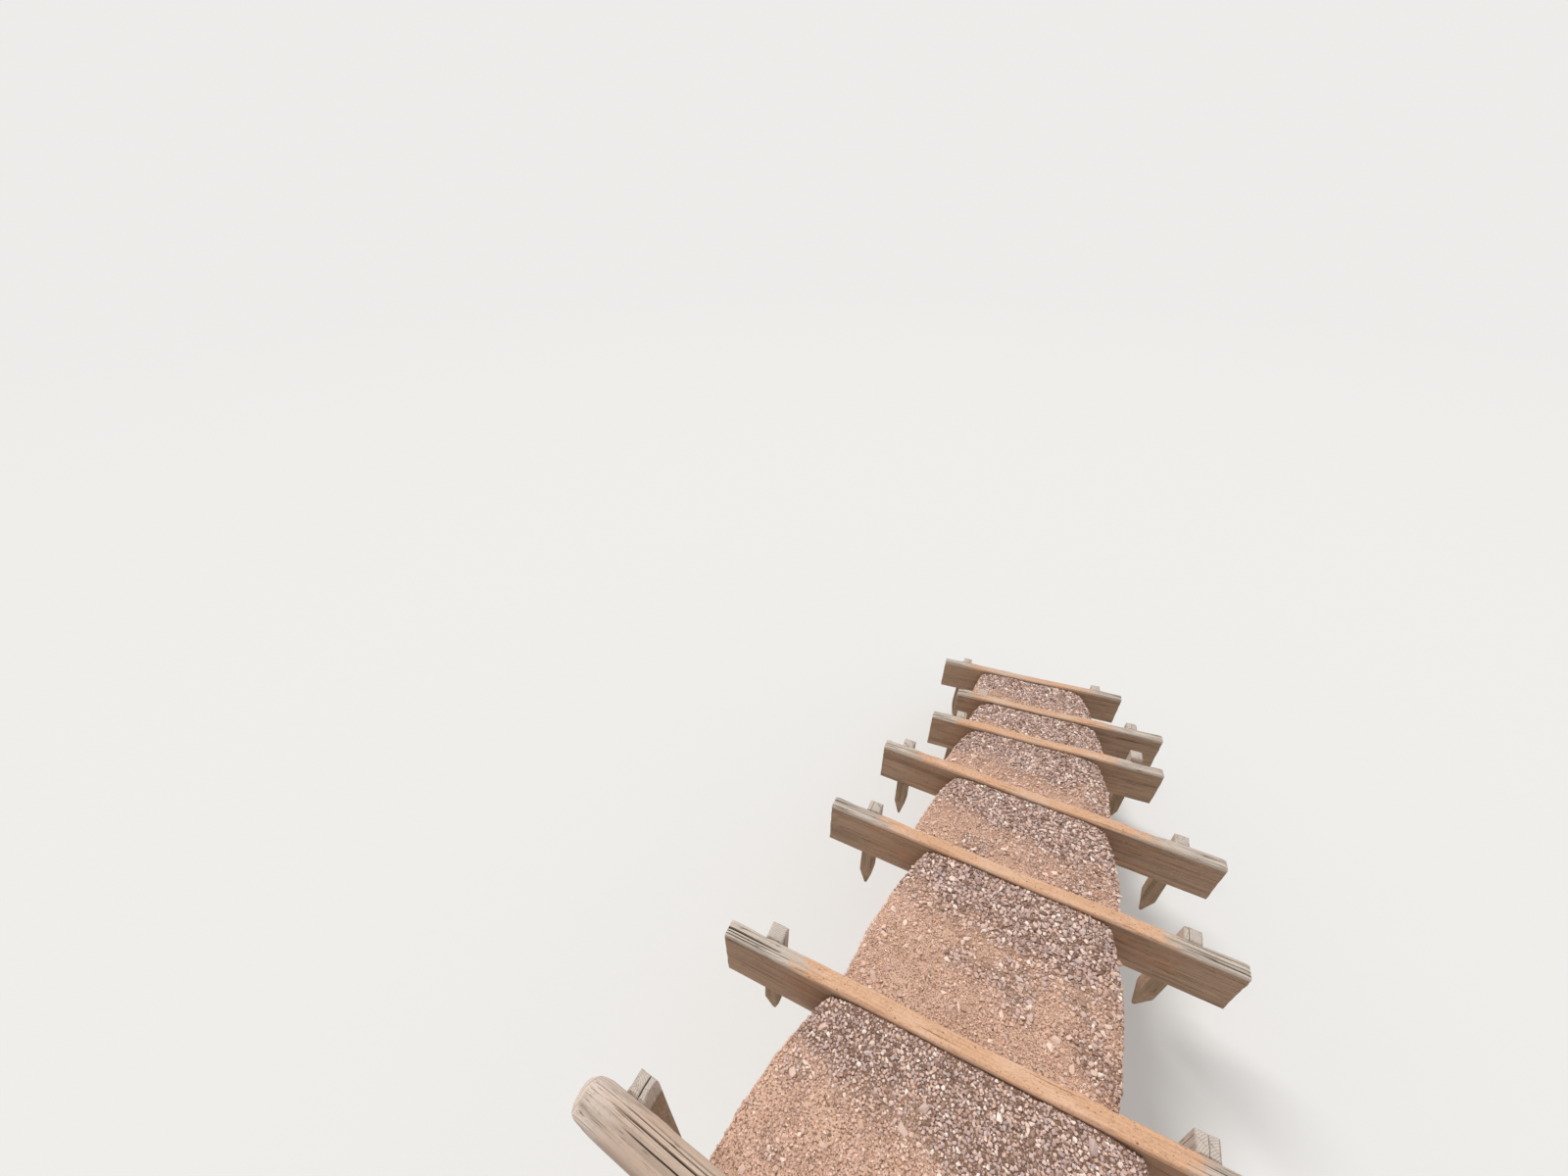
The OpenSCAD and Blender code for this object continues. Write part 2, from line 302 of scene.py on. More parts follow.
class Shade:
    """A material or a world, and the nodes that make it."""

    def __init__(self, holder):
        self.holder = holder
        holder.use_nodes = True
        self.tree = holder.node_tree
        self.tree.nodes.clear()

    def node(self, kind, settings=None, sockets=None, out=0):
        """Adds a node: its settings first, then the values or links of its sockets."""
        node = self.tree.nodes.new(kind)
        for key, value in (settings or {}).items():
            if key == "stops":
                self.set_stops(node.color_ramp, value)
            else:
                setattr(node, key, value)
        for key, value in (sockets or {}).items():
            if isinstance(value, Term):
                self.tree.links.new(value.socket, node.inputs[key])
            else:
                node.inputs[key].default_value = value
        return Term(self, node.outputs[out]) if node.outputs else None

    def math(self, operation, first, second):
        return self.node("ShaderNodeMath", {"operation": operation}, {0: first, 1: second})

    def set_stops(self, ramp, stops):
        while len(ramp.elements) < len(stops):
            ramp.elements.new(1.0)
        for element, (position, colour) in zip(ramp.elements, stops):
            element.position = position
            element.color = (*colour, 1)

    def number(self, name):
        """A number stored at the vertices."""
        return self.node("ShaderNodeAttribute", {"attribute_name": name}, out=2)

    def vector(self, name):
        """A vector stored at the vertices."""
        return self.node("ShaderNodeAttribute", {"attribute_name": name}, out=1)

    def object_place(self):
        return self.node("ShaderNodeTexCoord", out=3)

    def stretch(self, vector, scales):
        return self.node("ShaderNodeVectorMath", {"operation": "MULTIPLY"}, {0: vector, 1: scales})

    def parts(self, vector):
        split = self.node("ShaderNodeSeparateXYZ", None, {0: vector}).socket.node
        return [Term(self, socket) for socket in split.outputs]

    def join(self, x, y, z):
        return self.node("ShaderNodeCombineXYZ", None, {0: x, 1: y, 2: z})

    def noise(self, vector, scale=1.0, detail=2.0, roughness=0.5):
        return self.node("ShaderNodeTexNoise", None, {
            "Vector": vector, "Scale": scale, "Detail": detail, "Roughness": roughness})

    def cells(self, vector, scale):
        """Cells of random shapes: the distance from a cell's middle, and a random number for it."""
        distance = self.node("ShaderNodeTexVoronoi", None, {"Vector": vector, "Scale": scale})
        colour = Term(self, distance.socket.node.outputs[1])
        return distance, self.node("ShaderNodeSeparateColor", None, {0: colour})

    def step(self, value, low, high):
        """0 before low and 1 after high, with a smooth rise between them. High may be the lower."""
        falls = low > high
        return self.node("ShaderNodeMapRange", {"interpolation_type": "SMOOTHSTEP"}, {
            "Value": value, "From Min": min(low, high), "From Max": max(low, high),
            "To Min": float(falls), "To Max": float(not falls)})

    def mix(self, factor, under, over, blend="MIX"):
        """One colour over another."""
        pair = [colour if isinstance(colour, Term) else (*colour, 1) for colour in (under, over)]
        return self.node("ShaderNodeMix", {"data_type": "RGBA", "blend_type": blend},
                         {0: factor, 6: pair[0], 7: pair[1]}, out=2)

    def ramp(self, value, stops):
        return self.node("ShaderNodeValToRGB", {"stops": stops}, {0: value})

    def bump(self, height, strength, distance):
        return self.node("ShaderNodeBump", None, {
            "Strength": strength, "Distance": distance, "Height": height})

    def finish(self, colour, roughness, normal, specular, metallic=0.0):
        """Ends the material in one surface shader."""
        surface = self.node("ShaderNodeBsdfPrincipled", None, {
            "Base Color": colour, "Roughness": roughness, "Normal": normal,
            "Specular IOR Level": specular, "Metallic": metallic})
        self.node("ShaderNodeOutputMaterial", None, {"Surface": surface})
        return self.holder


# Settings that a user would change

def colour_property(name, description, default):
    return FloatVectorProperty(name=name, description=description, default=default, size=3,
                               min=0, max=1, subtype="COLOR")


def length_property(name, description, default):
    return FloatProperty(name=name, description=description, default=default, min=0, max=1,
                         precision=4, unit="LENGTH")


class TimberSettings(bpy.types.PropertyGroup):
    """Finish of the boards, the log and the pegs."""

    seed: IntProperty(name="Seed", description="Picks where cracks and chips fall", default=11)
    worn_colour: colour_property(
        "Worn timber", "Sawn timber that is trodden clean", (0.75, 0.445, 0.275))
    late_colour: colour_property(
        "Late wood", "Dark part of each growth ring", (0.43, 0.245, 0.145))
    dust_colour: colour_property(
        "Dust", "Pale dust trodden into the timber", (0.84, 0.57, 0.41))
    silver_colour: colour_property(
        "Silvered timber", "Timber that rain and sun have bleached", (0.65, 0.56, 0.475))
    grey_colour: colour_property(
        "Grey timber", "Dark streaks of silvered timber", (0.32, 0.265, 0.22))
    # Painted shade inside the cracks, the hairline splits and the rays on the end grain
    crack_shade_colour: colour_property("Cracks", "Inside of cracks", (0.06, 0.038, 0.026))
    # Painted shade in the small pits
    pit_shade_colour: colour_property("Pits", "Small pits in the worn timber", (0.20, 0.10, 0.055))
    log_colour: colour_property("Log", "Peeled and weathered pole", (0.62, 0.465, 0.36))
    log_silver_colour: colour_property(
        "Silvered log", "Bleached crown and ends of the pole", (0.78, 0.64, 0.545))
    peg_colour: colour_property("Peg", "Sawn stake", (0.52, 0.40, 0.31))
    peg_silver_colour: colour_property(
        "Silvered peg", "Bleached head of a stake", (0.66, 0.565, 0.49))
    stain_colour: colour_property(
        "Stain", "Damp stain of buried timber, over its own colour", (0.66, 0.52, 0.42))
    soil_colour: colour_property(
        "Damp soil", "Earth that clings to buried timber", (0.25, 0.145, 0.095))
    dry_soil_colour: colour_property(
        "Dry soil", "The same earth where it has dried", (0.50, 0.32, 0.23))
    algae_colour: colour_property(
        "Algae", "Green bloom on damp shaded timber", (0.20, 0.21, 0.10))
    relief: length_property("Grain relief", "Height of the weathered grain", 0.35 * MM)
    check_depth: length_property("Check depth", "Depth of the drying checks", 4 * MM)
    chip_depth: length_property("Chip depth", "Depth of bites out of the edges", 4.5 * MM)


class StoneSettings(bpy.types.PropertyGroup):
    """Finish of the treads and the stones on them."""

    seed: IntProperty(name="Seed", description="Picks where the stones lie", default=7)
    earth_colour: colour_property("Earth", "Trodden reddish earth", (0.65, 0.385, 0.26))
    ruddy_colour: colour_property("Ruddy earth", "Redder patches", (0.50, 0.265, 0.175))
    dust_colour: colour_property("Dust", "Dry pale dust on the earth", (0.88, 0.58, 0.425))
    fleck_colour: colour_property("Flecks", "Sand in the earth", (0.92, 0.70, 0.57))
    # Dark specks in the earth, and painted shade between the grains under the loose stones
    speck_and_shade_colour: colour_property("Gaps", "Dark fines between loose stones", (0.19, 0.11, 0.075))
    mauve_colour: colour_property("Mauve stone", "Colour of some stones", (0.55, 0.455, 0.455))
    coarse_low: length_property("Smallest coarse stone", "Half its length", 5 * MM)
    coarse_high: length_property("Largest coarse stone", "Half its length", 12 * MM)
    fine_low: length_property("Smallest fine stone", "Half its length", 2.6 * MM)
    fine_high: length_property("Largest fine stone", "Half its length", 5.2 * MM)
    large_tries: IntProperty(
        name="Large tries", description="Large flat stones thrown at each tread", default=100)
    coarse_tries: IntProperty(
        name="Coarse tries", description="Coarse stones thrown at each tread", default=8000)
    fine_pitch: length_property("Fine pitch", "Spacing of the fine stones", 6.4 * MM)
    flank_tries: IntProperty(
        name="Flank tries", description="Stones of a kind thrown at each tread's sides",
        default=2600)


class StageSettings(bpy.types.PropertyGroup):
    """Camera, floor and light."""

    eye: FloatVectorProperty(
        name="Eye", description="Where the camera stands", default=(0.5703, 3.0991, 2.775),
        size=3, subtype="TRANSLATION", unit="LENGTH")
    heading: FloatProperty(
        name="Heading", description="Direction of the view, turned from the x axis",
        default=math.radians(-70.81), subtype="ANGLE")
    pitch: FloatProperty(
        name="Pitch", description="How far the camera looks down", default=math.radians(34.54),
        subtype="ANGLE")
    lens: FloatProperty(
        name="Lens", description="Focal length in millimetres", default=13.5, unit="CAMERA")
    floor_colour: colour_property("Floor", "Colour of the floor", (0.80, 0.79, 0.77))
    haze_colour: colour_property("Backdrop", "Colour behind everything", (0.85, 0.84, 0.82))
    soft_strength: FloatProperty(
        name="Soft light", description="Light from all round", default=0.62, min=0)
    lamp_strength: FloatProperty(
        name="Lamp strength", description="Light from the one lamp", default=1.75, min=0)
    lamp_size: FloatProperty(
        name="Lamp size", description="How wide the lamp looks, which softens its shadows",
        default=math.radians(16), subtype="ANGLE")


# Materials of the timber

# Width of a growth ring, and how closely the pits of each size lie
RING_WIDTH = 4.6 * MM
PIT_SCALES = (95, 140, 210)


def darker(colour):
    """The darker streaks of a timber's colour."""
    return tuple(0.55 * c for c in colour)


def hair_splits(shade, grain, radius, silver, worn, across):
    """Hairline splits along a timber's sides, and rays out from its heart on its ends, as a mask for
    their painted shade and their bump.
    """
    x, y, z = shade.parts(grain)
    warp = shade.noise(shade.stretch(grain, (7, 30, 30)), detail=2) * 0.9
    hair = shade.noise(shade.stretch(grain, (3.2, 230, 230)), detail=1)
    split = shade.step(abs(hair - 0.5), 0.019, 0.004) * (1.0 - across)
    split = split * shade.step(warp + silver * 0.18 - worn * 0.12, 0.40, 0.58)
    turn = shade.math("ARCTAN2", z, y)
    ray = shade.noise(shade.join(turn * 7, radius * 6, x), detail=1)
    ray = shade.step(abs(ray - 0.5), 0.022, 0.006) * across
    ray = ray * shade.step(shade.noise(shade.join(turn * 2, radius * 40, x), detail=1), 0.46, 0.56)
    return shade.math("MAXIMUM", split, ray)


def pin_pits(shade, grain, speck):
    """Small pits of a few sizes, drawn out a little along the grain."""
    spots = shade.stretch(grain, (0.55, 1, 1))
    pits = 0.0
    for scale in PIT_SCALES:
        gap, chance = shade.cells(spots, scale)
        pit = shade.step(gap + chance * 0.16 + (speck - 0.5) * 0.16, 0.24, 0.11)
        pits = shade.math("MAXIMUM", pit, pits)
    return pits


def wood(name, settings, early, silvered, late=None, grey=None):
    """Weathered softwood. The mesh stores its grain, which parts are end grain, how trodden,
    silvered, damp and soiled it is, and how much painted shade lies in its cracks."""
    late = late or darker(early)
    grey = grey or darker(silvered)
    shade = Shade(bpy.data.materials.new(name))
    grain = shade.vector("grain")
    worn = shade.number("worn")
    across = shade.number("end")
    along = 1.0 - across

    # Growth rings round the heart of the trunk, and marks drawn out along it
    _, y, z = shade.parts(grain)
    drift = shade.noise(shade.stretch(grain, (1.6, 14, 14)), detail=1)
    radius = (y * y + z * z) ** 0.5 + drift * 0.006
    ring = (radius * (1 / RING_WIDTH)).fraction()
    late_wood = shade.step(ring, 0.35, 0.92) * shade.step(ring, 1.0, 0.94)
    fibre = shade.noise(shade.stretch(grain, (6, 420, 420)), detail=3, roughness=0.6)
    streak = shade.noise(shade.stretch(grain, (2.2, 60, 60)), detail=3)
    cloud = shade.noise(shade.stretch(grain, (7, 22, 22)), detail=4, roughness=0.6)
    mottle = shade.noise(shade.stretch(grain, (70, 150, 150)), detail=3, roughness=0.65)
    speck = shade.noise(shade.stretch(grain, (150, 330, 330)), detail=2, roughness=0.7)

    # Trodden timber, with dust in it
    clean = shade.mix(late_wood * (0.6 - worn * 0.34), early, late)
    clean = shade.mix(shade.step(fibre, 0.5, 0.75) * (0.4 - worn * 0.14), clean, late)
    clean = shade.mix(shade.step(mottle, 0.5, 0.7) * (0.25 + worn * 0.25), clean, late)
    clean = shade.mix(shade.step(cloud, 0.42, 0.7) * worn * 0.6, clean, settings.dust_colour)

    # Timber that rain and sun have bleached
    bleached = shade.mix(shade.step(streak, 0.46, 0.74) * along * 0.8, silvered, grey)
    bleached = shade.mix(shade.step(fibre, 0.44, 0.7) * 0.5, bleached, grey)
    bleached = shade.mix(shade.step(mottle, 0.52, 0.72) * 0.4, bleached, late)
    bleached = shade.mix(late_wood * across * 0.7, bleached, grey)
    silver = shade.step(shade.number("silver") + (cloud - 0.5) * 1.1 + (fibre - 0.5) * 0.5,
                        0.2, 0.95)
    colour = shade.mix(silver, clean, bleached)

    # Splits and pits, darkened with painted shade, and specks
    split = hair_splits(shade, grain, radius, silver, worn, across)
    colour = shade.mix(split * 0.8, colour, settings.crack_shade_colour)
    colour = shade.mix(shade.step(speck, 0.53, 0.66) * worn * 0.55, colour, late)
    pits = pin_pits(shade, grain, speck) * worn * shade.step(cloud, 0.72, 0.5) * along
    # Painted shade in the pits
    colour = shade.mix(pits * 0.9, colour, settings.pit_shade_colour)

    # Algae where it is damp, and stain and soil where it was buried
    algae = shade.step(shade.number("damp") + (streak - 0.5) * 0.9, 0.45, 0.95)
    colour = shade.mix(algae * 0.5, colour, settings.algae_colour)
    buried = shade.number("soil")
    stain = shade.step(buried + (streak - 0.5) * 0.6 + (fibre - 0.5) * 0.4, 0.1, 0.75)
    colour = shade.mix(stain, colour, settings.stain_colour, "MULTIPLY")
    crumbs = shade.noise(grain, 130, detail=5, roughness=0.75)
    film = shade.noise(shade.stretch(grain, (9, 16, 16)), detail=6, roughness=0.7)
    soil = shade.step(buried * 0.62 + (film - 0.5) * 2.6 + (crumbs - 0.5) * 0.9, 0.55, 1.1)
    clay = shade.mix(shade.step(crumbs, 0.3, 0.7), settings.soil_colour, settings.dry_soil_colour)
    colour = shade.mix(soil * 0.8, colour, clay)
    # Painted shade at the bottoms of the cracks that the mesh opens
    crack = shade.step(shade.number("crack"), 0.06, 0.55)
    colour = shade.mix(crack * 0.92, colour, settings.crack_shade_colour)

    height = (fibre * 0.5 + streak * 0.4 - late_wood * 0.25 - split * 0.9 - pits * 1.2
              + soil * crumbs * 2.0)
    rough = 0.82 + silver * 0.08 + mottle * 0.08
    return shade.finish(colour, rough, shade.bump(height, 0.6, 0.7 * MM), 0.2)


# Checks in the timber

# How fast a crack tapers, the share by which the rows beside it draw in towards it, and how many
# rows away it wanders and is felt
CRACK_TAPER = 0.6
CLOSING = 0.6
WANDER_ROWS = 0.8
FALL_ROWS = 2.2
REACH_ROWS = 4
Crack = namedtuple("Crack", "row start end depth gape open_end")


def crack_strength(crack, x):
    """How open a crack is at x, from 0 to 1. One with an open end runs out of the timber's end."""
    t = (x - crack.start) / (crack.end - crack.start)
    if not 0 <= t <= 1:
        return 0.0
    return (t if crack.open_end else math.sin(math.pi * t)) ** CRACK_TAPER


def crack_pull(cracks, x, across, spacing):
    """How far cracks move a vertex across and down, and how much painted shade they put on it."""
    shift = sink = dark = 0.0
    for crack in cracks:
        strength = crack_strength(crack, x)
        offset = across - crack.row
        if not strength or abs(offset) > REACH_ROWS * spacing:
            continue
        wander = WANDER_ROWS * spacing * noise.noise(Vector((x * 9, crack.row * 300, 0)))
        if abs(offset) < spacing / 2:
            shift += wander
            sink += crack.depth * strength
            dark = max(dark, strength)
        else:
            fall = bell(offset, FALL_ROWS * spacing)
            gape = math.copysign(crack.gape, offset) * strength
            shift += fall * (wander - CLOSING * offset * strength + gape)
    return shift, sink, dark


# The riser boards

# The grid of a board's skin, and how far out in a grid from -0.5 to 0.5 a vertex is on a face
BOARD_STEP = 8 * MM
BOARD_ACROSS = 24
BOARD_DOWN = 30
DOWN_POWER = 1.8
ON_FACE = 0.499

# How finely a board's top is felt for its hollow, and how far from its middle it is trodden
FEELERS = 60
TRODDEN_FROM = 0.27
TRODDEN_TO = 0.42

# How deep the faces stand clear of the soil
FRONT_SHOWN = 150 * MM
BACK_SHOWN = 16 * MM

# The board with a deep split in its right end, and the split's length, depth and gape
SPLIT_BOARD = 1
END_SPLIT = (0.17, 24 * MM, 2.6 * MM)

# Chips out of the top edges: their number, lengths, widths, field and slant
CHIPS = 26
CHIP_LENGTHS = (0.008, 0.06)
CHIP_ACROSS = 5 * MM
CHIP_DOWN = 6 * MM
CHIP_FIELD = (14 * MM, 20 * MM)
CHIP_SLANT = 0.7
Chip = namedtuple("Chip", "x y length depth")

# Wear of the ends and of their upper corners
END_REACH = 9 * MM
END_LOSS = 2.5 * MM
CORNER_REACH = 12 * MM
CORNER_LOSS = 4 * MM


def board_cracks(rng, size, settings):
    """Checks in a board's top: short ones that run in from each end, and a few along the middle."""
    def any_row():
        return rng.randint(4, BOARD_ACROSS - 4) * size.y / BOARD_ACROSS

    cracks = []
    for end in (-1, 1):
        for _ in range(rng.randint(2, 4)):
            row, reach = any_row(), rng.uniform(0.05, 0.24)
            cracks.append(Crack(row, end * (size.x / 2 - reach), end * size.x / 2,
                                settings.check_depth * rng.uniform(0.6, 1.8), 0, True))
    for _ in range(rng.randint(1, 3)):
        row, start = any_row(), rng.uniform(-0.45, 0.3) * size.x
        cracks.append(Crack(row, start, start + rng.uniform(0.06, 0.16),
                            settings.check_depth * rng.uniform(0.2, 0.5), 0, False))
    return cracks


def trodden_middle(surface, size):
    """Where along a board its top edge is most worn, found by feeling down onto the solid."""
    total = moment = 0.0
    for k in range(-FEELERS, FEELERS + 1):
        x = size.x * k / (2 * FEELERS + 2)
        hit = surface.ray_cast(Vector((x, size.y / 2, FEEL_FROM)), -UP)[0]
        drop = max(-hit.z, 0.0)
        total += drop
        moment += drop * x
    return moment / total


def chipped(move, chips, spot, thickness, wild):
    """A vertex's move, with what the chips in a board's top edges take off there."""
    x, y, z = spot
    for chip in chips:
        near = abs(x - chip.x) < 3 * chip.length and abs(y - chip.y) < CHIP_FIELD[0]
        if near and z > -CHIP_FIELD[1]:
            bite = bell(x - chip.x, chip.length) * bell(y - chip.y, CHIP_ACROSS)
            bite *= bell(z, CHIP_DOWN) * (1 + 0.5 * wild)
            inward = math.copysign(CHIP_SLANT, thickness / 2 - chip.y)
            move += Vector((0, inward, -CHIP_SLANT)) * chip.depth * bite
    return move


def board_marks(i, spot, unit, aside, crack_shade):
    """A board's MARKS at a place, and how worn it is there."""
    away = smoothstep(TRODDEN_FROM, TRODDEN_TO, aside)
    top = smoothstep(-16 * MM, -3 * MM, spot.z)
    front = unit.y < -ON_FACE
    shown = FRONT_SHOWN if front else BACK_SHOWN if unit.y > ON_FACE else 0.5 * FRONT_SHOWN
    silver = mix(0.06 + 0.08 * (i - 1), 1, max(away, (1 - top) * 0.75))
    soil = smoothstep(-shown * 0.6, -shown * 1.25, spot.z)
    damp = (0.25 + 0.5 * smoothstep(-0.02, -0.14, spot.z)) * away if front else 0.1 * away
    end = float(abs(unit.x) > ON_FACE)
    return silver, soil, damp, crack_shade * (0.5 + 0.5 * away), end, (1 - away) * top


def riser_board(i, material, settings):
    """One board on edge across the path, with its worn hollow, checks, chips and eroded ends."""
    rng = random.Random(settings.seed * 100 + i)
    place, size = board_place(i)
    node = f"riser_board_{i}"
    surface = cad_surface(node, place)
    bm, units = grid_block((round(size.x / BOARD_STEP), BOARD_ACROSS, BOARD_DOWN))
    for vert, unit in zip(bm.verts, units):
        vert.co = Vector((unit.x * size.x, (unit.y + 0.5) * size.y,
                          -size.z * (0.5 - unit.z) ** DOWN_POWER))
        vert.co = surface.find_nearest(vert.co)[0]
    heart = Vector((i * 3.7, rng.uniform(0.03, 0.12), rng.uniform(0.09, 0.16)))
    lay_grain(bm, [vert.co + heart for vert in bm.verts])
    bm.normal_update()

    middle = trodden_middle(surface, size)
    cracks = board_cracks(rng, size, settings)
    if i == SPLIT_BOARD:
        reach, depth, gape = END_SPLIT
        cracks.append(Crack(size.y * 0.5, size.x / 2 - reach, size.x / 2, depth, gape, True))
    chips = [Chip(rng.uniform(-0.48, 0.48) * size.x, rng.choice((0, size.y)),
                  rng.uniform(*CHIP_LENGTHS), settings.chip_depth * rng.uniform(0.2, 1.0))
             for _ in range(CHIPS)]
    marks = []
    for vert, unit in zip(bm.verts, units):
        spot = vert.co.copy()
        x, y, z = spot
        shift = sink = crack_shade = 0.0
        if unit.z > ON_FACE:
            shift, sink, crack_shade = crack_pull(cracks, x, y, size.y / BOARD_ACROSS)
        wild = noise.noise(Vector((x * 30, y * 30, z * 30 + 40 * i)))
        rise = settings.relief * (drawn_noise(spot, 4, 210) + 0.8 * drawn_noise(spot, 12, 90))
        rise += 0.5 * MM * drawn_noise(spot + Vector((i, 0, 0)), 3, 14)
        move = vert.normal * rise + Vector((0, shift, -sink))
        move = chipped(move, chips, spot, size.y, wild)
        worn_end = bell(size.x / 2 - abs(x), END_REACH)
        move.x -= math.copysign(END_LOSS, x) * worn_end * (0.6 + wild)
        move.z -= CORNER_LOSS * worn_end * bell(z, CORNER_REACH)
        vert.co += move
        aside = abs(x - middle) / size.x + 0.04 * wild
        marks.append(board_marks(i, spot, unit, aside, crack_shade))
    paint(bm, (*MARKS, "worn"), marks)
    finish_piece(bm, f"board_{i}", material, node, place)


# The log

# The rows of its grid, from the middle of one end to the other's, its rounding and its rings' heart
LOG_AROUND = 128
LOG_CAP_ROWS = 6
LOG_ROUND_ROWS = 8
LOG_BODY_ROWS = 150
LOG_ROWS = 2 * (LOG_CAP_ROWS + LOG_ROUND_ROWS) + LOG_BODY_ROWS
LOG_ROUNDING = 22 * MM
LOG_HEART = Vector((20, 0.004, -0.003))
LOG_CRACKS = (
    Crack(math.radians(18), 0.17, 1.25, 14 * MM, math.radians(2.0), False),
    Crack(math.radians(43), 0.12, 1.20, 12 * MM, math.radians(1.6), False),
    Crack(math.radians(-7), 0.74, 1.19, 6 * MM, math.radians(0.5), False),
    Crack(math.radians(-31), 0.30, 0.95, 6 * MM, math.radians(0.6), False),
    Crack(math.radians(31), 0.86, 1.22, 5 * MM, math.radians(0.3), False),
    Crack(math.radians(98), 0.05, 0.70, 8 * MM, math.radians(1.0), False),
    Crack(math.radians(160), 0.45, 1.15, 8 * MM, math.radians(1.0), False),
    Crack(math.radians(-100), 0.10, 0.95, 8 * MM, math.radians(1.2), False),
)

# Each knot's place along and round the log, and its size
LOG_KNOTS = ((0.28, -0.5, 15 * MM), (0.61, 0.75, 13 * MM), (0.93, -0.15, 12 * MM),
             (1.12, 1.4, 16 * MM), (0.44, 2.6, 16 * MM), (0.78, -1.7, 15 * MM))
KNOT_LENGTHENING = 1.4
KNOT_SWELL = 2.4 * MM
KNOT_HOLLOW = 1.8 * MM

# How far in from the ends the log is gnawed, and how deep
GNAW_REACH = 0.10
GNAW_DEPTH = 2 * MM
TIP_GNAW_REACH = 0.09
TIP_GNAW_DEPTH = 4.5 * MM
END_GNAW = 6 * MM


def log_profile(row, length, butt, tip):
    """Place along the log and radius at a row, counted from the middle of its butt to its tip's."""
    if row > LOG_ROWS / 2:
        x, radius = log_profile(LOG_ROWS - row, length, tip, butt)
        return length - x, radius
    corner = butt - LOG_ROUNDING
    if row <= LOG_CAP_ROWS:
        return 0.0, corner * row / LOG_CAP_ROWS
    if row <= LOG_CAP_ROWS + LOG_ROUND_ROWS:
        angle = math.pi / 2 * (row - LOG_CAP_ROWS) / LOG_ROUND_ROWS
        return LOG_ROUNDING * (1 - math.cos(angle)), corner + LOG_ROUNDING * math.sin(angle)
    t = (row - LOG_CAP_ROWS - LOG_ROUND_ROWS) / LOG_BODY_ROWS
    x = LOG_ROUNDING + t * (length - 2 * LOG_ROUNDING)
    return x, butt + (tip - butt) * x / length


def on_log(x, turn, radius):
    """The point at a place along the log, a turn from its crown and a radius."""
    return Vector((x, -math.sin(turn) * radius, math.cos(turn) * radius))


def log_rise(x, turn, spot, butt, settings):
    """How far the log's skin stands out for its waves, its grain and its knots."""
    rise = 1.3 * MM * noise.noise(Vector((x * 3.0, math.sin(turn) * 1.3, math.cos(turn) * 1.3)))
    rise += 1.1 * settings.relief * (drawn_noise(spot, 5, 150) + drawn_noise(spot, 14, 70))
    for knot_x, knot_turn, size in LOG_KNOTS:
        around = (turn - knot_turn + math.pi) % (2 * math.pi) - math.pi
        gap = math.hypot((x - knot_x) / KNOT_LENGTHENING, around * butt)
        rise += KNOT_SWELL * bell(gap, size) - KNOT_HOLLOW * bell(gap, size * 0.35)
    return rise


def top_log(material, settings):
    """The round pole at the head of the flight, with drying cracks, knots and gnawed ends."""
    place, length, butt, tip = log_place()
    bm = bmesh.new()
    bmesh.ops.create_uvsphere(bm, u_segments=LOG_AROUND, v_segments=LOG_ROWS, radius=1)
    grain, marks = [], []
    for vert in bm.verts:
        row = round(math.acos(max(-1, min(1, -vert.co.z))) / math.pi * LOG_ROWS)
        turn = math.atan2(vert.co.y, vert.co.x)
        x, radius = log_profile(row, length, butt, tip)
        shift, sink, crack_shade = crack_pull(LOG_CRACKS, x, turn, 2 * math.pi / LOG_AROUND)
        turn += shift
        round_part = smoothstep(0.3, 0.8, radius / butt)
        spot = on_log(x, turn, radius)
        grain.append(spot + LOG_HEART)

        near_end = min(x, length - x)
        wild = noise.noise(spot * 26 + Vector((9, 0, 0)))
        gnaw = max(smoothstep(GNAW_REACH, 0.0, near_end) * (0.5 + wild), 0)
        tip_end = smoothstep(TIP_GNAW_REACH, 0.0, length - x)
        rise = log_rise(x, turn, spot, butt, settings)
        rise -= (GNAW_DEPTH + TIP_GNAW_DEPTH * tip_end) * gnaw * round_part
        radius += (rise - sink) * round_part
        x += (0.5 - x / length) * END_GNAW * gnaw * (1 - round_part * 0.5)
        vert.co = on_log(x, turn, radius)

        ends = smoothstep(0.16, 0.02, near_end)
        soil = 0.6 * smoothstep(0.15, -0.5, math.cos(turn))
        damp = 0.35 * smoothstep(0.6, -0.2, math.cos(turn)) + 0.25 * ends
        marks.append((0.3 + 0.6 * ends, soil, damp, crack_shade * round_part,
                      smoothstep(LOG_ROUNDING, 0.6 * LOG_ROUNDING, near_end)))
    lay_grain(bm, grain)
    paint(bm, MARKS, marks)
    bmesh.ops.recalc_face_normals(bm, faces=bm.faces)
    finish_piece(bm, "log", material, "top_log", place)


# Pegs and their nails

PEG_ALONG = 46
PEG_ACROSS = 16
PEG_POWER = 1.5

# How far the pegs stand clear of the soil at a board and at the log
PEG_SHOWN = 165 * MM
LOG_PEG_SHOWN = 60 * MM

# How far down the bruising of a peg's head reaches, and how low the head's edge is beaten
HEAD_REACH = 10 * MM
HEAD_DOME = 1.6 * MM


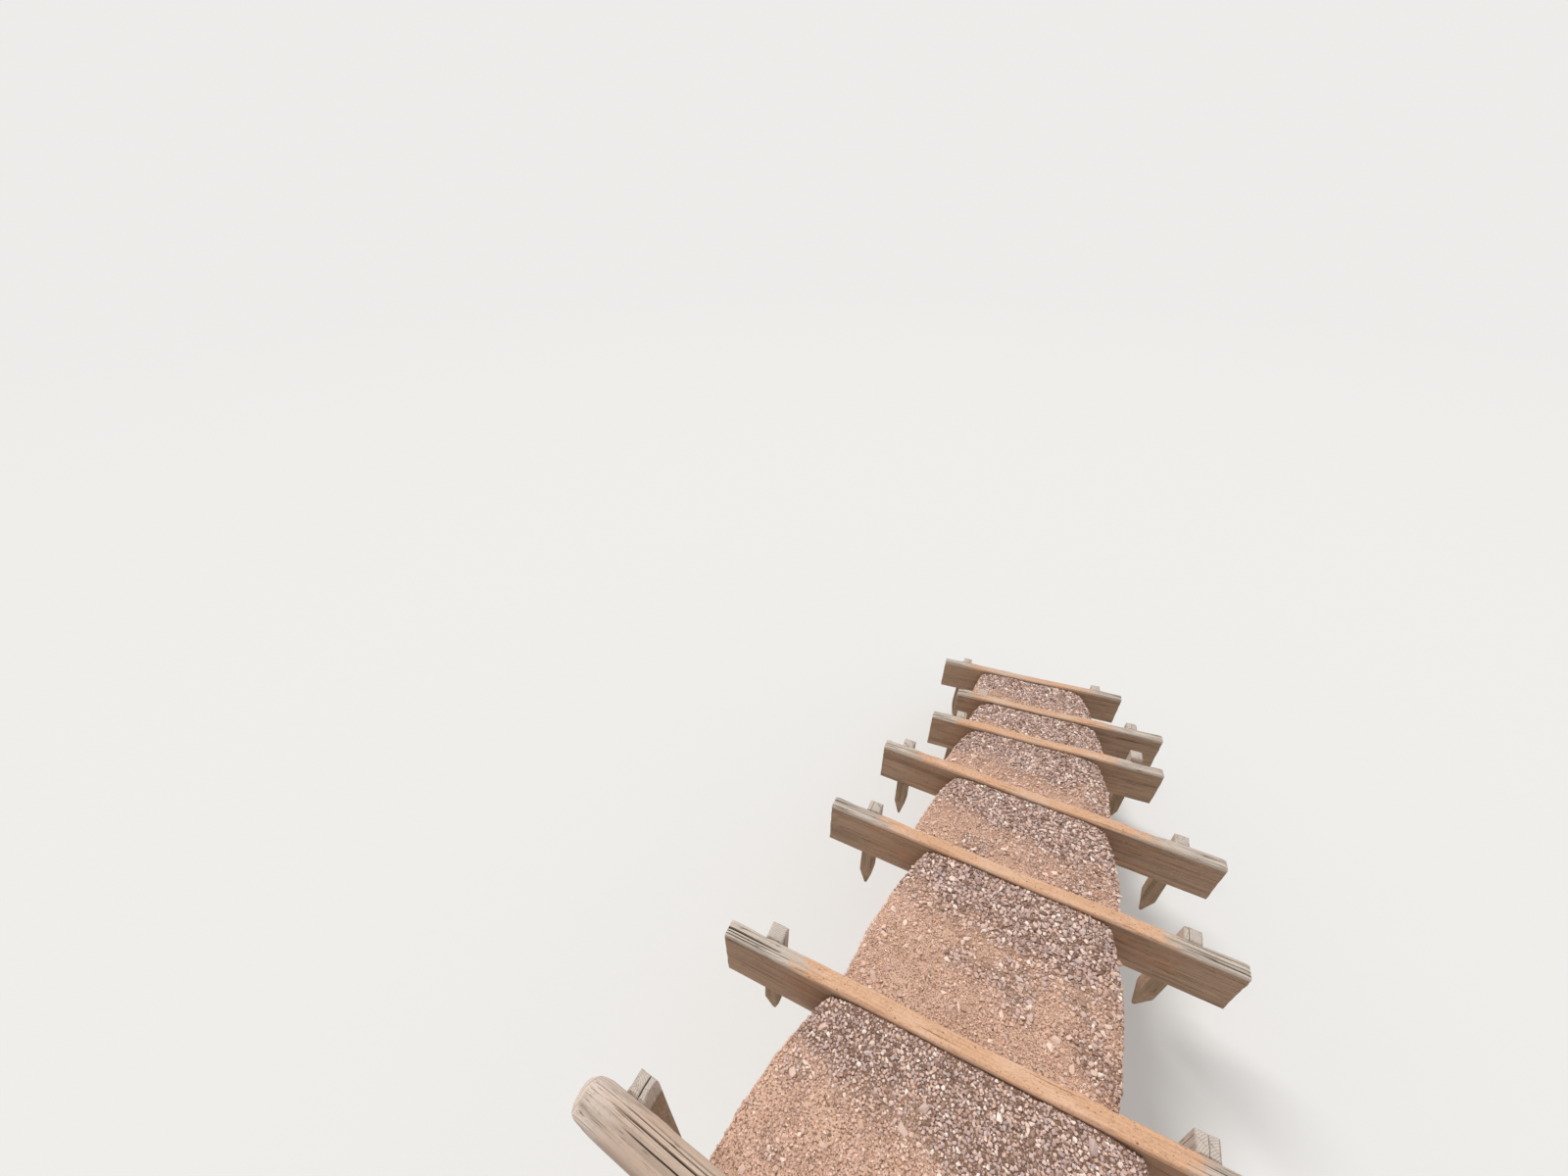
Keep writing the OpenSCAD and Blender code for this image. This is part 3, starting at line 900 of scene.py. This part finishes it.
def peg(i, side, along, material, settings):
    """One driven stake: bruised head, a split or two, and earth on the part that was buried."""
    rng = random.Random(settings.seed * 1000 + i * 2 + SIDES.index(side))
    place, depths, widths = peg_place(i, side, along)
    bm, units = grid_block((PEG_ALONG, PEG_ACROSS, PEG_ACROSS))
    full = 2 * max(widths)
    row = (rng.randint(3, PEG_ACROSS - 3) / PEG_ACROSS - 0.5) * full
    split = Crack(row, -rng.uniform(0.06, 0.2), 0.0, rng.choice((0.5, 2, 4)) * MM, 0, True)
    bruise = Vector([rng.uniform(-9, 9) for _ in range(3)])
    shown = PEG_SHOWN if i else LOG_PEG_SHOWN
    for vert, unit in zip(bm.verts, units):
        depth = depths[-1] * (unit.x + 0.5) ** PEG_POWER
        width = 2 * np.interp(depth, depths, widths)
        vert.co = Vector((depth, unit.y * width, unit.z * width))
    heart = Vector((i * 5.3, rng.uniform(-0.05, 0.05), rng.uniform(0.01, 0.06)))
    lay_grain(bm, [vert.co + heart for vert in bm.verts])
    bm.normal_update()

    marks = []
    for vert, unit in zip(bm.verts, units):
        x, y, z = vert.co
        move = vert.normal * settings.relief * 1.2 * (
            drawn_noise(vert.co + bruise, 4, 180) + drawn_noise(vert.co + bruise, 10, 70))
        head = bell(x, HEAD_REACH)
        wild = noise.noise(vert.co * 70 + bruise)
        wide = noise.noise(vert.co * 25 + bruise)
        on_head = unit.x < -ON_FACE
        shift = sink = crack_shade = 0.0
        if on_head or abs(unit.z) > ON_FACE:
            shift, sink, crack_shade = crack_pull([split], -x, y, full / PEG_ACROSS)
        if on_head:
            dome = 1 - (y * y + z * z) / (0.5 * full) ** 2
            move.x += (1.8 * wild + 1.2 * wide) * MM - HEAD_DOME * dome + sink
        else:
            move += Vector((0, y, z)).normalized() * head * (1.6 * wide + 0.8 * wild) * MM
            move.z -= math.copysign(sink, z)
        move.y += shift
        vert.co += move
        marks.append((0.7 + 0.3 * head, smoothstep(shown * 0.7, shown * 1.25, x),
                      0.3 + 0.4 * smoothstep(0.03, shown, x),
                      0.8 * crack_shade * min(split.depth / (3 * MM), 1), smoothstep(6 * MM, MM, x)))
    paint(bm, MARKS, marks)
    finish_piece(bm, f"stake_{side}_{i}", material, f"peg_{side}_{i}", place)
    return place, full / 2


# The nails' heads, how far down the pegs they sit, and how far they are out of true
NAIL_RADIUS = 5 * MM
NAIL_HEIGHT = 1.6 * MM
NAIL_DEPTHS = (42 * MM, 104 * MM)
LOG_NAIL_DEPTHS = (20 * MM,)
NAIL_DRIFT = 9 * MM
NAIL_GAP = 0.2 * MM
NAIL_TILT = 0.12
ZINC_COLOUR = (0.30, 0.30, 0.31)
RUST_COLOUR = (0.20, 0.085, 0.035)


def nail_heads(pegs, material, settings):
    """The heads of the nails that hold each stake to its board."""
    rng = random.Random(settings.seed)
    bm = bmesh.new()
    for i, place, half in pegs:
        for depth in NAIL_DEPTHS if i else LOG_NAIL_DEPTHS:
            drift = rng.uniform(-NAIL_DRIFT, NAIL_DRIFT)
            spot = Matrix.Translation((depth, drift, half + NAIL_GAP))
            tilts = [rng.uniform(-NAIL_TILT, NAIL_TILT) for _ in range(2)]
            tilt = Euler((*tilts, 0)).to_matrix()
            bmesh.ops.create_cone(
                bm, cap_ends=True, segments=16, radius1=NAIL_RADIUS, radius2=NAIL_RADIUS * 0.7,
                depth=NAIL_HEIGHT, matrix=place @ spot @ tilt.to_4x4())
    finish_piece(bm, "nail_heads", material, smooth=False)


def galvanised(name):
    """Dull zinc with spots of rust."""
    shade = Shade(bpy.data.materials.new(name))
    spot = shade.object_place()
    rust = shade.step(shade.noise(spot, 160, detail=3), 0.45, 0.62)
    colour = shade.mix(rust, ZINC_COLOUR, RUST_COLOUR)
    bumps = shade.bump(shade.noise(spot, 420, detail=2), 0.4, 0.4 * MM)
    return shade.finish(colour, 0.5 + rust * 0.35, bumps, 0.5, 0.75 - rust * 0.65)


# The treads

# How the fill is cut up and smoothed, and the slopes at which its top and its underside begin
FILL_CUTS = 5
SMOOTHINGS = 6
TOP_SLOPE = 0.45
UNDER_SLOPE = -0.4

# How far up the tread loose stone lies, how far from a riser the flanks are rough, and how near to
# one stones still show in them
LOOSE_REACH = 0.19
FLANK_FADE = 30 * MM
FLANK_GAP = 5 * MM

# Colours of stone from the darkest to the palest
STONE_TONES = (
    (0.00, (0.23, 0.138, 0.10)),
    (0.20, (0.43, 0.28, 0.222)),
    (0.45, (0.66, 0.45, 0.37)),
    (0.68, (0.82, 0.605, 0.51)),
    (0.90, (0.93, 0.75, 0.645)),
    (1.00, (0.97, 0.89, 0.80)),
)


class Tread:
    """A tread's fill between its two risers, and how loose its stone is from place to place."""

    def __init__(self, i):
        self.i = i
        self.node = f"tread_fill_{i}"
        self.low, self.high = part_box(self.node)
        lower, size = board_place(i)
        self.lower = lower.inverted()
        self.thickness = size.y
        if i > 1:
            upper, self.log_radius = board_place(i - 1)[0], 0
        else:
            upper, _, self.log_radius, _ = log_place()
        self.upper = upper.inverted()
        self.seed = Vector((3.1 * i, 7.7 * i, 0))

    def behind_lower(self, point):
        """Distance from the back of the board below."""
        return (self.lower @ point).y - self.thickness

    def room(self, point):
        """Distance from the nearer of the two risers."""
        above = self.upper @ point
        before_upper = -above.y if self.i > 1 else above.yz.length - self.log_radius
        return min(self.behind_lower(point), before_upper)

    def looseness(self, point):
        """0 where the tread is trodden earth, 1 where loose stone has gathered behind the board."""
        middle = (self.low.x + self.high.x) / 2
        v = (point.x - middle) / (self.high.x - self.low.x)
        patch = noise.noise(point * 7 + self.seed) + 0.5 * noise.noise(point * 19 + self.seed)
        reach = LOOSE_REACH * (1 - 0.55 * v)
        band = smoothstep(1.35 * reach, 0.65 * reach, self.behind_lower(point) + 0.07 * patch)
        return max(band, 0.65 * smoothstep(-0.02, 0.5, patch - 0.75 * v))

    def stoniness(self, point):
        """How many of its stones show on the trodden earth, from 0.3 to about 1.6 of the usual."""
        return 0.3 + 1.3 * smoothstep(-0.25, 0.45, noise.noise(point * 12 - self.seed))


def tread_surface(tread, material):
    """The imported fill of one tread, with a bumpy trodden top."""
    bm = cad_copy(tread.node)
    bmesh.ops.subdivide_edges(bm, edges=bm.edges[:], cuts=FILL_CUTS, use_grid_fill=True)
    bmesh.ops.triangulate(bm, faces=bm.faces[:])
    bm.normal_update()
    top = [v for v in bm.verts if v.normal.z > TOP_SLOPE]
    inner = [v for v in top if min(f.normal.z for f in v.link_faces) > TOP_SLOPE]
    for _ in range(SMOOTHINGS):
        bmesh.ops.smooth_vert(bm, verts=inner, factor=0.5, use_axis_z=True)
    bm.normal_update()
    chosen = set(top)
    marks = []
    for vert in bm.verts:
        point = vert.co.copy()
        share = tread.looseness(point)
        lump = 3.2 * noise.noise(point * 9 + tread.seed) + 2.0 * noise.noise(point * 28)
        grit = 1.4 * noise.noise(point * 75) + 0.9 * noise.noise(point * 150)
        if vert in chosen:
            vert.co.z += MM * (lump + grit * (0.7 + share))
        else:
            rough = smoothstep(0, FLANK_FADE, tread.room(point))
            vert.co += vert.normal * MM * (1.8 * lump + 1.6 * grit) * rough
        marks.append((share * smoothstep(0.1, TOP_SLOPE, vert.normal.z),))
    paint(bm, ("loose",), marks)
    tree = BVHTree.FromBMesh(bm)
    flanks = [([vert.co.copy() for vert in face.verts], face.normal.copy(), face.calc_area())
              for face in bm.faces if UNDER_SLOPE < face.normal.z < TOP_SLOPE
              and tread.room(face.calc_center_median()) > FLANK_GAP]
    finish_piece(bm, f"tread_{tread.i}", material, tread.node)
    return tree, flanks


def trodden_earth(name, settings):
    """Reddish earth with fine gravel and dark specks pressed into it, and pale grains over painted
    shade where stone lies loose.
    """
    shade = Shade(bpy.data.materials.new(name))
    spot = shade.object_place()
    loose = shade.number("loose")
    broad = shade.noise(spot, 7, detail=4, roughness=0.6)
    grit = shade.noise(spot, 210, detail=3, roughness=0.7)
    fine = shade.noise(spot, 520, detail=2, roughness=0.65)
    colour = shade.mix(shade.step(broad, 0.35, 0.68) * 0.5, settings.earth_colour,
                       settings.dust_colour)
    ruddy = shade.step(shade.noise(spot, 14, detail=3), 0.48, 0.62)
    colour = shade.mix(ruddy * 0.5, colour, settings.ruddy_colour)
    middle, chance = shade.cells(spot, 290)
    grain = shade.step(middle + (grit - 0.5) * 0.5, 0.5, 0.3)
    fleck = shade.step(fine, 0.46, 0.62) * 0.45 + shade.step(chance, 0.62, 0.8) * grain * 0.55
    colour = shade.mix(fleck, colour, settings.fleck_colour)
    # One dark colour for specks in the earth and for painted shade under the loose stones
    gap = settings.speck_and_shade_colour
    colour = shade.mix(shade.step(grit, 0.48, 0.60) * 0.9, colour, gap)
    # Where stone lies loose, pale grains over painted shade
    grains = shade.mix(grain * 0.8, gap, shade.ramp(chance * 0.75, STONE_TONES))
    colour = shade.mix(loose * 0.85, colour, grains)
    height = grit * 1.4 + fine * 0.6 + grain * loose * 0.8
    return shade.finish(colour, 0.9 + grit * 0.08, shade.bump(height, 0.9, 1.6 * MM), 0.15)


def crushed_stone(name, settings):
    """Angular stone whose tone changes from one stone to the next."""
    shade = Shade(bpy.data.materials.new(name))
    spot = shade.object_place()
    tone = shade.number("tone")
    mottle = shade.noise(spot, 190, detail=4, roughness=0.65)
    dust = shade.noise(spot, 60, detail=2)
    colour = shade.ramp(tone + (mottle - 0.5) * 0.2, STONE_TONES)
    mauve = shade.step((tone * 37).fraction(), 0.55, 0.6) * shade.step(tone, 0.92, 0.8)
    colour = shade.mix(mauve * 0.6, colour, settings.mauve_colour)
    dusty = shade.number("dusty") * 0.44 + shade.step(dust, 0.42, 0.66) * 0.2
    colour = shade.mix(dusty, colour, settings.dust_colour)
    bumps = shade.bump(mottle, 0.5, 0.8 * MM)
    return shade.finish(colour, 0.88 + mottle * 0.08, bumps, 0.2)


# Loose stones

# A kind of stone: its shape, how far its corners are jittered, how close it packs, whether others
# keep away from it, its share on bare earth, and how deep it is sunk, in half-lengths
Kind = namedtuple("Kind", "shape jitter pack kept earth_share sinks")
KINDS = {
    "large": Kind(Vector((1, 0.72, 0.4)), 0.5, 0.9, True, 1, (0.35, 0.6)),
    "coarse": Kind(Vector((1, 0.82, 0.6)), 0.38, 0.68, True, 0.09, (0.1, 0.5)),
    "fine": Kind(Vector((1, 0.85, 0.65)), 0.38, 0.62, False, 0.7, (0.1, 0.5)),
}
TEMPLATES = 12
STONE_TILT = 0.45
STONE_SCALES = (0.82, 1.1)

# Sizes of large stones against the largest coarse one, and how far the fine ones drift in their rows
LARGE_SIZES = (0.55, 1.5, 0.6)
FINE_DRIFT = 0.4
LARGE_TONES = (0.99, 0.97, 0.92, 0.8, 0.7, 0.6, 0.45, 0.3)

# Size of each tread's coarse stones against the settings
COARSENESS = {1: 0.56, 2: 0.82, 3: 0.82, 4: 0.8, 5: 0.8, 6: 0.8}

# How many half-lengths a stone keeps from the risers, how close and deep stones lie in the flanks,
# and the grid that finds a stone's neighbours
STONE_ROOM = 1.15
FLANK_PACK = 0.7
FLANK_SINKS = (0.45, 0.75)
STONE_CELL = 24 * MM
NEIGHBOURS = tuple(itertools.product((-1, 0, 1), repeat=3))


def stone_template(kind, rng):
    """An angular flattish stone of about unit half-length: the hull round roughly spread corners."""
    bm = bmesh.new()
    if kind == "fine":
        bmesh.ops.create_cube(bm, size=1.25)
    else:
        bmesh.ops.create_icosphere(bm, subdivisions=1, radius=1.0)
    jitter = KINDS[kind].jitter
    for vert in bm.verts:
        move = Vector([rng.uniform(-jitter, jitter) for _ in range(3)])
        vert.co = (vert.co + move) * KINDS[kind].shape
    bmesh.ops.delete(bm, geom=bm.faces[:] + bm.edges[:], context="EDGES_FACES")
    hull = bmesh.ops.convex_hull(bm, input=bm.verts[:])
    spare = [v for v in hull["geom_interior"] if isinstance(v, bmesh.types.BMVert)]
    bmesh.ops.delete(bm, geom=spare, context="VERTS")
    bmesh.ops.recalc_face_normals(bm, faces=bm.faces[:])
    mesh = to_mesh(bm, f"{kind}_stone")
    points = np.empty(len(mesh.vertices) * 3, np.float32)
    mesh.vertices.foreach_get("co", points)
    return mesh, points


class StonePile:
    """Stones joined into one mesh and kept a little apart."""

    def __init__(self, rng, templates):
        self.rng = rng
        self.templates = templates
        self.bm = bmesh.new()
        self.tones = []
        self.dust = []
        self.places = {}

    def clear(self, point, radius, pack, keep):
        """Whether a stone there would lie clear of those kept in mind. If so it may be kept too."""
        x, y, z = (math.floor(c / STONE_CELL) for c in point)
        for dx, dy, dz in NEIGHBOURS:
            for other, reach in self.places.get((x + dx, y + dy, z + dz), ()):
                if (other - point).length < pack * (reach + radius):
                    return False
        if keep:
            self.places.setdefault((x, y, z), []).append((point.copy(), radius))
        return True

    def add(self, kind, point, normal, radius, sink, dust):
        """Lays one stone on the surface, sunk by a share of its half-length."""
        mesh, points = self.rng.choice(self.templates[kind])
        tilts = [self.rng.uniform(-STONE_TILT, STONE_TILT) for _ in range(2)]
        tilt = Euler((*tilts, 0)).to_matrix()
        yaw = Matrix.Rotation(self.rng.uniform(0, 2 * math.pi), 3, "Z")
        lie = normal.to_track_quat("Z", "Y").to_matrix() @ tilt @ yaw
        scale = Matrix.Diagonal([radius * self.rng.uniform(*STONE_SCALES) for _ in range(3)])
        spot = point + normal * radius * (0.5 - sink)
        mesh.transform(Matrix.Translation(spot) @ (lie @ scale).to_4x4())
        self.bm.from_mesh(mesh)
        mesh.vertices.foreach_set("co", points)
        self.tones += [stone_tone(self.rng, kind)] * len(mesh.vertices)
        self.dust += [dust] * len(mesh.vertices)


def stone_tone(rng, kind):
    """A tone from 0, dark, to 1, white, with few at the ends."""
    if kind == "large":
        return rng.choice(LARGE_TONES)
    return min(max(rng.gauss(0.43, 0.28), 0), 0.93) if rng.random() > 0.03 else 0.99


def loose_stones(tread, surface, flanks, templates, material, settings):
    """The stones that lie on one tread and show in its two flanks."""
    rng = random.Random(settings.seed * 50 + tread.i)
    pile = StonePile(rng, templates)

    def on_top(name, x, y, radius):
        kind = KINDS[name]
        sink = rng.uniform(*kind.sinks)
        spot, normal, _, _ = surface.ray_cast(Vector((x, y, tread.high.z + FEEL_FROM)), -UP)
        if spot is None or normal.z < TOP_SLOPE:
            return
        loose = tread.looseness(spot)
        share = mix(kind.earth_share * tread.stoniness(spot), 1,
                    loose ** (radius / settings.fine_high))
        if rng.random() > share or tread.room(spot) < radius * STONE_ROOM:
            return
        if pile.clear(spot, radius, kind.pack, kind.kept):
            pile.add(name, spot, normal, radius, sink, 1 - loose)

    def anywhere():
        return rng.uniform(tread.low.x, tread.high.x), rng.uniform(tread.low.y, tread.high.y)

    for _ in range(settings.large_tries):
        radius = rng.triangular(*LARGE_SIZES) * settings.coarse_high
        on_top("large", *anywhere(), radius)
    size = COARSENESS[tread.i]
    sizes = sorted((rng.triangular(settings.coarse_low, settings.coarse_high) * size
                    for _ in range(round(settings.coarse_tries / size))), reverse=True)
    for radius in sizes:
        on_top("coarse", *anywhere(), radius)
    pitch = settings.fine_pitch
    for row in range(round((tread.high.y - tread.low.y) / pitch)):
        for column in range(round((tread.high.x - tread.low.x) / pitch)):
            drift = rng.uniform(-FINE_DRIFT, FINE_DRIFT)
            x = tread.low.x + (column + row % 2 / 2 + drift) * pitch
            y = tread.low.y + (row + rng.uniform(-FINE_DRIFT, FINE_DRIFT)) * pitch
            radius = rng.triangular(settings.fine_low, settings.fine_high, settings.fine_low)
            on_top("fine", x, y, radius)

    areas = [area for _, _, area in flanks]
    tries = ["coarse"] * settings.flank_tries + ["fine"] * settings.flank_tries
    for kind, (corners, normal, _) in zip(tries, rng.choices(flanks, areas, k=len(tries))):
        a, b = sorted((rng.random(), rng.random()))
        spot = corners[0] * a + corners[1] * (b - a) + corners[2] * (1 - b)
        radius = rng.uniform(settings.fine_low, settings.fine_high)
        if kind == "coarse":
            radius = rng.triangular(settings.coarse_low, settings.coarse_high) * size
        roomy = tread.room(spot) > radius * STONE_ROOM
        if roomy and pile.clear(spot, radius, FLANK_PACK, KINDS[kind].kept):
            pile.add(kind, spot, normal, radius, rng.uniform(*FLANK_SINKS), rng.uniform(0.5, 1))

    piece = finish_piece(pile.bm, f"stones_{tread.i}", material, smooth=False)
    for name, numbers in (("tone", pile.tones), ("dusty", pile.dust)):
        piece.data.attributes.new(name, "FLOAT", "POINT").data.foreach_set("value", numbers)


# The stage

# The floor, how far out it fades into the haze, what the camera sees between, and the lamp's aim
FLOOR_RADIUS = 60.0
HAZE_FROM = 4.0
HAZE_TO = 22.0
CLIP_START = 0.01
CLIP_END = 500
LAMP_AIM = Vector((-0.55, 0.35, -1.0))


def add_camera(scene, settings):
    """A wide-angle camera at eye height, looking down the flight."""
    camera = put("camera", bpy.data.cameras.new("camera"))
    level = math.cos(settings.pitch)
    ahead = Vector((math.cos(settings.heading) * level, math.sin(settings.heading) * level,
                    -math.sin(settings.pitch)))
    camera.location = settings.eye
    camera.rotation_euler = ahead.to_track_quat("-Z", "Y").to_euler()
    camera.data.lens = settings.lens
    camera.data.clip_start = CLIP_START
    camera.data.clip_end = CLIP_END
    scene.camera = camera


def seen_rays(shade):
    """1 for what the camera sees, also in or through a shiny or clear surface, and 0 for light."""
    path = shade.node("ShaderNodeLightPath").socket.node.outputs
    rays = [Term(shade, path[f"Is {kind} Ray"]) for kind in ("Camera", "Glossy", "Transmission")]
    return shade.math("MAXIMUM", rays[0], shade.math("MAXIMUM", rays[1], rays[2]))


def add_floor(settings):
    """A plain pale floor under the lowest peg."""
    bm = bmesh.new()
    bmesh.ops.create_circle(bm, cap_ends=True, segments=96, radius=FLOOR_RADIUS)
    bm.transform(Matrix.Translation((0, 0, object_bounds()[0].z)))
    floor = put("floor", to_mesh(bm, "floor"))
    shade = Shade(bpy.data.materials.new("floor"))
    spot = shade.object_place()
    far = shade.node("ShaderNodeVectorMath", {"operation": "LENGTH"}, {0: spot}, out=1)
    plain = shade.node("ShaderNodeBsdfDiffuse", None, {"Color": (*settings.floor_colour, 1)})
    haze = shade.node("ShaderNodeEmission", None, {"Color": (*settings.haze_colour, 1)})
    seen = shade.step(far, HAZE_FROM, HAZE_TO) * seen_rays(shade)
    both = shade.node("ShaderNodeMixShader", None, {0: seen, 1: plain, 2: haze})
    shade.node("ShaderNodeOutputMaterial", None, {"Surface": both})
    floor.data.materials.append(shade.holder)
    floor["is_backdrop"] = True


def add_light(scene, settings):
    """Soft light from all round and one large lamp."""
    scene.world = bpy.data.worlds.new("surround")
    shade = Shade(scene.world)
    seen = shade.node("ShaderNodeBackground", None, {"Color": (*settings.haze_colour, 1)})
    soft = shade.node("ShaderNodeBackground", None,
                      {"Color": (1, 1, 1, 1), "Strength": settings.soft_strength})
    both = shade.node("ShaderNodeMixShader", None, {0: seen_rays(shade), 1: soft, 2: seen})
    shade.node("ShaderNodeOutputWorld", None, {"Surface": both})
    lamp = put("lamp", bpy.data.lights.new("lamp", "SUN"))
    lamp.data.energy = settings.lamp_strength
    lamp.data.angle = settings.lamp_size
    lamp.rotation_euler = LAMP_AIM.to_track_quat("-Z", "Y").to_euler()


# Operators, one for each piece or group of like pieces

class PATHSTEPS_OT_boards(bpy.types.Operator):
    """Weathers the six boards that edge the steps."""

    bl_idname = "path_steps.boards"
    bl_label = "Riser Boards"

    def execute(self, context):
        settings = context.scene.path_steps_timber
        material = wood("board_timber", settings, settings.worn_colour, settings.silver_colour,
                        settings.late_colour, settings.grey_colour)
        for i in BOARDS:
            riser_board(i, material, settings)
        return {"FINISHED"}


class PATHSTEPS_OT_log(bpy.types.Operator):
    """Weathers the round log at the head of the flight."""

    bl_idname = "path_steps.log"
    bl_label = "Top Log"

    def execute(self, context):
        settings = context.scene.path_steps_timber
        top_log(wood("log_wood", settings, settings.log_colour, settings.log_silver_colour), settings)
        return {"FINISHED"}


class PATHSTEPS_OT_pegs(bpy.types.Operator):
    """Weathers the driven pegs and nails them to their boards."""

    bl_idname = "path_steps.pegs"
    bl_label = "Pegs and Nails"

    def execute(self, context):
        settings = context.scene.path_steps_timber
        material = wood("peg_timber", settings, settings.peg_colour, settings.peg_silver_colour)
        placed = []
        for i in (0, *BOARDS):
            along = (board_place(i)[0] if i else log_place()[0]).col[0].to_3d()
            for side in SIDES:
                place, half = peg(i, side, along, material, settings)
                placed.append((i, place, half))
        nail_heads(placed, galvanised("zinc"), settings)
        return {"FINISHED"}


class PATHSTEPS_OT_treads(bpy.types.Operator):
    """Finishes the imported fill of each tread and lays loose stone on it."""

    bl_idname = "path_steps.treads"
    bl_label = "Treads and Stones"

    def execute(self, context):
        settings = context.scene.path_steps_stone
        earth = trodden_earth("trodden_earth", settings)
        stone = crushed_stone("crushed_stone", settings)
        rng = random.Random(settings.seed)
        templates = {kind: [stone_template(kind, rng) for _ in range(TEMPLATES)] for kind in KINDS}
        for i in BOARDS:
            tread = Tread(i)
            surface, flanks = tread_surface(tread, earth)
            loose_stones(tread, surface, flanks, templates, stone, settings)
        for kind in templates:
            for mesh, _ in templates[kind]:
                bpy.data.meshes.remove(mesh)
        return {"FINISHED"}


class PATHSTEPS_OT_stage(bpy.types.Operator):
    """Sets up the camera, the floor and the light."""

    bl_idname = "path_steps.stage"
    bl_label = "Stage"

    def execute(self, context):
        settings = context.scene.path_steps_stage
        scene = context.scene
        scene.view_settings.view_transform = "Standard"
        add_camera(scene, settings)
        add_floor(settings)
        add_light(scene, settings)
        return {"FINISHED"}


# The panel, and the start

class PATHSTEPS_PT_panel(bpy.types.Panel):
    """Lists the pieces and their settings."""

    bl_label = "Path Steps"
    bl_idname = "PATHSTEPS_PT_panel"
    bl_space_type = "VIEW_3D"
    bl_region_type = "UI"
    bl_category = "Path Steps"

    def draw(self, context):
        scene = context.scene
        for operator in OPERATORS:
            self.layout.operator(operator.bl_idname)
        for settings in (scene.path_steps_timber, scene.path_steps_stone, scene.path_steps_stage):
            box = self.layout.box()
            for name in settings.__annotations__:
                box.prop(settings, name)


OPERATORS = (PATHSTEPS_OT_boards, PATHSTEPS_OT_log, PATHSTEPS_OT_pegs, PATHSTEPS_OT_treads,
             PATHSTEPS_OT_stage)
GROUPS = (TimberSettings, StoneSettings, StageSettings)
CLASSES = (*GROUPS, *OPERATORS, PATHSTEPS_PT_panel)


def register():
    for cls in CLASSES:
        bpy.utils.register_class(cls)
    bpy.types.Scene.path_steps_timber = PointerProperty(type=TimberSettings)
    bpy.types.Scene.path_steps_stone = PointerProperty(type=StoneSettings)
    bpy.types.Scene.path_steps_stage = PointerProperty(type=StageSettings)


def unregister():
    del bpy.types.Scene.path_steps_stage
    del bpy.types.Scene.path_steps_stone
    del bpy.types.Scene.path_steps_timber
    for cls in reversed(CLASSES):
        bpy.utils.unregister_class(cls)


def main():
    register()
    bpy.ops.path_steps.boards()
    bpy.ops.path_steps.log()
    bpy.ops.path_steps.pegs()
    bpy.ops.path_steps.treads()
    bpy.ops.path_steps.stage()


if __name__ == "__main__":
    main()
